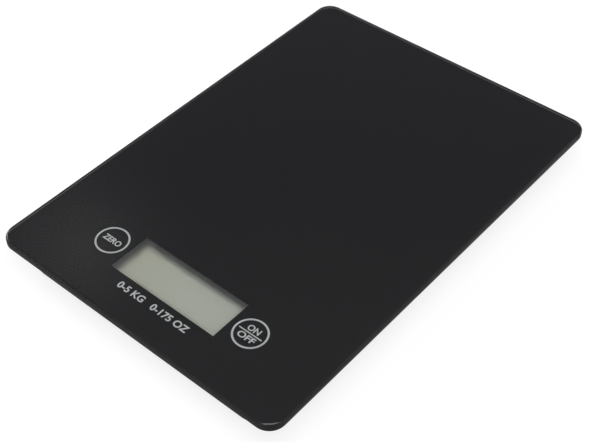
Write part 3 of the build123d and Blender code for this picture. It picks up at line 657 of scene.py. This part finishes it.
def edit(piece, select_mode):
    """Edit a piece in vertex, edge or face mode."""
    bpy.context.view_layer.objects.active = piece
    bpy.ops.object.mode_set(mode="EDIT")
    bpy.ops.mesh.select_mode(type=select_mode)


def pick_edges(piece, wanted):
    """Select the edges whose two ends pass a test."""
    bpy.ops.mesh.select_all(action="DESELECT")
    mesh = bmesh.from_edit_mesh(piece.data)
    for edge in mesh.edges:
        edge.select_set(wanted(*(vertex.co for vertex in edge.verts)))
    bmesh.update_edit_mesh(piece.data)


def pick_faces(piece, wanted):
    """Select the faces whose middle and normal pass a test."""
    bpy.ops.mesh.select_all(action="DESELECT")
    mesh = bmesh.from_edit_mesh(piece.data)
    for face in mesh.faces:
        face.select_set(wanted(face.calc_center_median(), face.normal))
    bmesh.update_edit_mesh(piece.data)


def upright(one, other):
    """Whether an edge with these ends runs up."""
    return abs(one.z - other.z) > SAME_HEIGHT


def faces_up(middle, normal):
    """Whether a face with this middle and normal is level and looks up."""
    return normal.z > LEVEL


def faces_down(middle, normal):
    """Whether a face with this middle and normal is level and looks down."""
    return normal.z < -LEVEL


def close_up():
    """Merge doubles, turn the faces outwards and leave edit mode."""
    bpy.ops.mesh.select_all(action="SELECT")
    bpy.ops.mesh.remove_doubles(threshold=MERGE_DISTANCE)
    bpy.ops.mesh.normals_make_consistent(inside=False)
    bpy.ops.object.mode_set(mode="OBJECT")


class KITCHEN_SCALE_OT_finishes(Operator):
    """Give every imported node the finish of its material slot"""

    bl_idname = "kitchen_scale.finishes"
    bl_label = "Finish the packed nodes"

    def execute(self, context):
        finishes = node_finishes(context.scene.scale_colours)
        for row in frame["record"]["subparts"]:
            for slot in frame["nodes"][row["node"]].material_slots:
                slot.material = finishes[row["material_slot"]]
        return {"FINISHED"}


class KITCHEN_SCALE_OT_glass(Operator):
    """Model the glass platform, with the black print bonded to its underside"""

    bl_idname = "kitchen_scale.glass"
    bl_label = "Glass platform"

    def execute(self, context):
        sizes = context.scene.scale_glass
        start_clean()
        bpy.ops.mesh.primitive_cube_add(
            size=1, location=(glass_low + glass_high) / 2, scale=glass_high - glass_low
        )
        piece = name_piece("glass_sheet")
        matted = polished_glass("matted_glass", context.scene.scale_colours.glass, sizes.window_matting)
        dress(piece, bpy.data.materials["polished_glass"], bpy.data.materials["black_ink"], matted)
        edit(piece, "EDGE")
        pick_edges(piece, upright)
        bpy.ops.mesh.bevel(offset=sizes.corner_radius, segments=sizes.corner_steps)
        pick_edges(piece, lambda one, other: min(one.z, other.z) > glass_high.z - SAME_HEIGHT)
        bpy.ops.mesh.bevel(offset=sizes.top_edge_radius, segments=sizes.edge_steps)
        pick_edges(piece, lambda one, other: max(one.z, other.z) < glass_low.z + SAME_HEIGHT)
        bpy.ops.mesh.bevel(offset=sizes.under_edge_radius, segments=sizes.edge_steps)
        bpy.ops.mesh.select_mode(type="FACE")
        pick_faces(piece, faces_up)
        bpy.ops.mesh.inset(thickness=sizes.flat_rim)
        self.print_underside(piece, sizes)
        close_up()
        bpy.ops.object.shade_smooth_by_angle(angle=SMOOTH_ANGLE)
        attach(piece, CASE)
        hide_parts("glass_platform")
        return {"FINISHED"}

    def print_underside(self, piece, sizes):
        """Ink on the underside and round its edge, and a matted window for the display."""
        pick_faces(piece, faces_down)
        bpy.ops.mesh.inset(thickness=sizes.flat_rim)
        pick_faces(piece, lambda middle, normal: normal.z < -INKED)
        piece.active_material_index = INK_SLOT
        bpy.ops.object.material_slot_assign()
        window = middle_of("lcd_polariser")
        half = Vector((sizes.window_width, sizes.window_length, 0)) / 2
        for axis in range(2):
            for side in (-1, 1):
                across = Vector((0, 0, 0))
                across[axis] = 1
                cut = Vector((window.x, window.y, glass_low.z))
                cut[axis] += side * half[axis]
                pick_faces(piece, faces_down)
                bpy.ops.mesh.bisect(plane_co=cut, plane_no=across)
        pick_faces(
            piece,
            lambda middle, normal: faces_down(middle, normal)
            and abs(middle.x - window.x) < half.x
            and abs(middle.y - window.y) < half.y,
        )
        piece.active_material_index = MATTED_SLOT
        bpy.ops.object.material_slot_assign()


def finish_mark(piece):
    """Print a mark in pale ink and fix it to the case."""
    dress(piece, bpy.data.materials["pale_ink"])
    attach(piece, CASE)


def mark_level(sizes):
    """Height of the middle of the pale ink, just inside the glass."""
    return glass_low.z + sizes.thickness


def print_ring(name, place, sizes):
    """A flat ring of ink round a key."""
    start_clean()
    outer = sizes.ring_diameter / 2
    inner_share = 1 - sizes.ring_line / outer
    level = mark_level(sizes) - sizes.thickness / 2
    bpy.ops.mesh.primitive_circle_add(
        vertices=RING_STEPS, radius=outer, location=(place.x, place.y, level)
    )
    piece = name_piece(name)
    edit(piece, "EDGE")
    bpy.ops.mesh.select_all(action="SELECT")
    bpy.ops.mesh.extrude_edges_move()
    bpy.ops.transform.resize(value=(inner_share, inner_share, 1), center_override=(place.x, place.y, level))
    bpy.ops.mesh.select_all(action="SELECT")
    bpy.ops.mesh.extrude_region_move(TRANSFORM_OT_translate={"value": (0, 0, sizes.thickness)})
    close_up()
    return piece


def copy_mark(piece, name, shift):
    """The same mark again, moved by a shift, with a mesh of its own."""
    start_clean()
    piece.select_set(True)
    bpy.context.view_layer.objects.active = piece
    bpy.ops.object.duplicate()
    bpy.ops.transform.translate(value=shift)
    return name_piece(name)


def print_bar(name, place, sizes):
    """A bar of ink with rounded ends."""
    start_clean()
    bpy.ops.mesh.primitive_cube_add(
        size=1, location=(place.x, place.y, mark_level(sizes)),
        scale=(sizes.bar_length, sizes.bar_width, sizes.thickness),
    )
    piece = name_piece(name)
    edit(piece, "EDGE")
    pick_edges(piece, upright)
    bpy.ops.mesh.bevel(offset=sizes.bar_width * BAR_CORNER_SHARE, segments=BAR_CORNER_STEPS)
    close_up()
    finish_mark(piece)


def print_words(name, words, place, size, sizes):
    """Words of ink of a given width and height, with their middle at a place."""
    start_clean()
    bpy.ops.object.text_add()
    text = bpy.context.object.data
    text.body = words
    text.offset = sizes.letter_weight
    text.extrude = HALF_LETTER_DEPTH
    bpy.ops.object.convert(target="MESH")
    bpy.ops.object.origin_set(type="ORIGIN_GEOMETRY", center="BOUNDS")
    piece = bpy.context.object
    drawn = piece.dimensions
    piece.scale = (size[0] / drawn.x, size[1] / drawn.y, sizes.thickness / drawn.z)
    piece.location = (place.x, place.y, mark_level(sizes))
    name_piece(name)
    edit(piece, "VERT")
    close_up()
    finish_mark(piece)


class KITCHEN_SCALE_OT_marks(Operator):
    """Print the rings, the bar and the words of the marks"""

    bl_idname = "kitchen_scale.marks"
    bl_label = "Printed marks"

    def execute(self, context):
        sizes = context.scene.scale_marks
        screen_ink("pale_ink", context.scene.scale_colours.mark, spread=0.06, roughness=0.5)
        left = middle_of("touch_spring_left")
        right = middle_of("touch_spring_right")
        step = Vector((0, sizes.key_lead, 0))
        below_window = Vector((middle_of("lcd_polariser").x, glass_low.y + sizes.range_from_front, 0))
        ring = print_ring("key_ring_left", left, sizes)
        finish_mark(copy_mark(ring, "key_ring_right", right - left))
        finish_mark(ring)
        print_bar("key_bar", right, sizes)
        print_words("key_words_left", sizes.left_words, left, sizes.left_size, sizes)
        print_words("key_words_upper", sizes.upper_words, right + step, sizes.upper_size, sizes)
        print_words("key_words_lower", sizes.lower_words, right - step, sizes.lower_size, sizes)
        print_words("range_words", sizes.range_words, below_window, sizes.range_size, sizes)
        return {"FINISHED"}


class KITCHEN_SCALE_OT_load_cells(Operator):
    """Copy each load cell and its gauge into a piece of its own and hide the imported node"""

    bl_idname = "kitchen_scale.load_cells"
    bl_label = "Bending load cells"

    def execute(self, context):
        for corner in CORNERS:
            for kind, slot in (("load_cell", "cell_steel"), ("strain_gauge", "gauge_coat")):
                node = frame["nodes"][f"{kind}_{corner}"]
                piece = self.copy_node(node, f"bending_{kind}_{corner}")
                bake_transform(piece)
                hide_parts(node.name)
        return {"FINISHED"}

    def copy_node(self, node, name):
        """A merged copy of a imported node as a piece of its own."""
        start_clean()
        piece = bpy.data.objects.new(name, node.data.copy())
        bpy.context.scene.collection.objects.link(piece)
        piece.select_set(True)
        edit(piece, "VERT")
        bpy.ops.mesh.select_all(action="SELECT")
        bpy.ops.mesh.remove_doubles(threshold=MERGE_DISTANCE)
        bpy.ops.object.mode_set(mode="OBJECT")
        bpy.ops.object.shade_smooth_by_angle(angle=SMOOTH_ANGLE)
        return piece


class KITCHEN_SCALE_OT_stage(Operator):
    """Set the floor, the soft light and the camera"""

    bl_idname = "kitchen_scale.stage"
    bl_label = "Stage"

    def execute(self, context):
        stage = context.scene.scale_stage
        self.lay_floor(stage, context.scene.scale_colours.floor)
        self.light_room(context.scene, stage)
        self.hang_softbox(stage)
        self.set_camera(context.scene, stage)
        context.scene.view_settings.view_transform = "Standard"
        return {"FINISHED"}

    def lay_floor(self, stage, colour, roughness=0.85):
        """A plain pale floor under the feet, which turns white further off."""
        start_clean()
        bpy.ops.mesh.primitive_plane_add(size=stage.floor_size, location=(0, 0, cad_low.z))
        floor = name_piece("floor")
        material, nodes, shader = new_finish("pale_floor", {"Specular IOR Level": 0.1})
        cloud = nodes.noise(size=0.4)
        by_camera, by_mirror, by_glass = (
            nodes.add("ShaderNodeLightPath", output=f"Is {ray} Ray")
            for ray in ("Camera", "Glossy", "Transmission")
        )
        mirrored = nodes.add("ShaderNodeClamp", None, {0: by_mirror + by_glass})
        distance = nodes.add(
            "ShaderNodeVectorMath", {"operation": "LENGTH"}, {0: nodes.place()}, output="Value"
        )
        whiteness = nodes.ramp(
            distance * (2 / stage.floor_size), ((FLOOR_PLAIN, stage.floor_glow), (FLOOR_WHITE, 1.0))
        )
        nodes.feed(shader, {
            "Base Color": nodes.tint(cloud, shade(colour, share=0.985), colour),
            "Roughness": roughness + swing(cloud, spread=0.1),
            "Emission Color": by_camera * whiteness + mirrored * stage.mirrored_glow,
            "Emission Strength": 1.0,
        })
        dress(floor, material)

    def light_room(self, scene, stage):
        """Pale studio walls, a dimmer ceiling and two soft patches of light on the left."""
        world = bpy.data.worlds.new("studio")
        world.use_nodes = True
        scene.world = world
        nodes = Nodes(world.node_tree)
        direction = nodes.add("ShaderNodeTexCoord", output="Generated")
        height = nodes.add("ShaderNodeSeparateXYZ", None, {0: direction}, output="Z")
        overhead = nodes.ramp(height, CEILING_STOPS)
        room = nodes.tint(overhead, stage.wall, stage.ceiling)
        light = self.add_patch(
            nodes, direction, room, stage.glow, stage.glow_turn, stage.glow_height, stage.glow_focus
        )
        light = self.add_patch(
            nodes, direction, light, stage.gleam, stage.gleam_turn, stage.gleam_height, stage.gleam_focus
        )
        background = world.node_tree.nodes["Background"]
        nodes.feed(background, {"Color": light, "Strength": 1.0})

    def add_patch(self, nodes, direction, room, colour, turn, height, focus):
        """The light of a room with a soft round patch added to it."""
        level = math.cos(height)
        towards = (level * math.cos(turn), level * math.sin(turn), math.sin(height))
        aim = nodes.add(
            "ShaderNodeVectorMath", {"operation": "DOT_PRODUCT"}, {0: direction, 1: towards}, output="Value"
        )
        patch = nodes.add("ShaderNodeClamp", None, {0: aim}) ** focus
        return nodes.add(
            "ShaderNodeMix", {"data_type": "RGBA", "blend_type": "ADD"},
            {MIX_SHARE: patch, MIX_FIRST: room, MIX_SECOND: opaque(colour)}, output=MIX_RESULT,
        )

    def hang_softbox(self, stage):
        """A round soft light overhead that faces the scale."""
        start_clean()
        towards = -Vector(stage.softbox_place)
        turn = towards.to_track_quat("-Z", "Y").to_euler()
        bpy.ops.object.light_add(type="AREA", location=stage.softbox_place, rotation=turn)
        softbox = bpy.context.object
        softbox.name = "softbox"
        softbox.data.shape = "DISK"
        softbox.data.size = stage.softbox_size
        softbox.data.energy = stage.softbox_power

    def set_camera(self, scene, stage):
        """The camera of the main view."""
        start_clean()
        bpy.ops.object.camera_add(location=stage.camera_place, rotation=stage.camera_turn)
        camera = bpy.context.object
        camera.data.sensor_width = SENSOR_WIDTH
        camera.data.lens = stage.lens
        camera.data.shift_x = stage.shift
        camera.data.clip_start = NEAREST_SEEN
        scene.camera = camera


GROUPS = {
    "scale_glass": GlassSizes,
    "scale_marks": MarkSizes,
    "scale_cells": CellSizes,
    "scale_colours": ScaleColours,
    "scale_stage": StageSettings,
}
OPERATORS = (
    KITCHEN_SCALE_OT_finishes,
    KITCHEN_SCALE_OT_glass,
    KITCHEN_SCALE_OT_marks,
    KITCHEN_SCALE_OT_load_cells,
    KITCHEN_SCALE_OT_stage,
)


class KITCHEN_SCALE_PT_builder(Panel):
    """Lists the steps that dress the scale, and their settings"""

    bl_idname = "KITCHEN_SCALE_PT_builder"
    bl_label = "Glass Kitchen Scale"
    bl_space_type = "VIEW_3D"
    bl_region_type = "UI"
    bl_category = "Scale"

    def draw(self, context):
        for operator in OPERATORS:
            self.layout.operator(operator.bl_idname)
        for group_name, group in GROUPS.items():
            box = self.layout.box()
            for setting in group.__annotations__:
                box.prop(getattr(context.scene, group_name), setting)


def register():
    """Add the property groups, operators and panel."""
    for group_name, group in GROUPS.items():
        bpy.utils.register_class(group)
        setattr(bpy.types.Scene, group_name, PointerProperty(type=group))
    for cls in (*OPERATORS, KITCHEN_SCALE_PT_builder):
        bpy.utils.register_class(cls)


def unregister():
    """Take them away again."""
    for cls in (KITCHEN_SCALE_PT_builder, *reversed(OPERATORS)):
        bpy.utils.unregister_class(cls)
    for group_name, group in GROUPS.items():
        delattr(bpy.types.Scene, group_name)
        bpy.utils.unregister_class(group)


def main():
    """Dress the scale: finishes, glass, marks, load cells and stage."""
    register()
    bpy.ops.kitchen_scale.finishes()
    bpy.ops.kitchen_scale.glass()
    bpy.ops.kitchen_scale.marks()
    bpy.ops.kitchen_scale.load_cells()
    bpy.ops.kitchen_scale.stage()


if __name__ == "__main__":
    main()
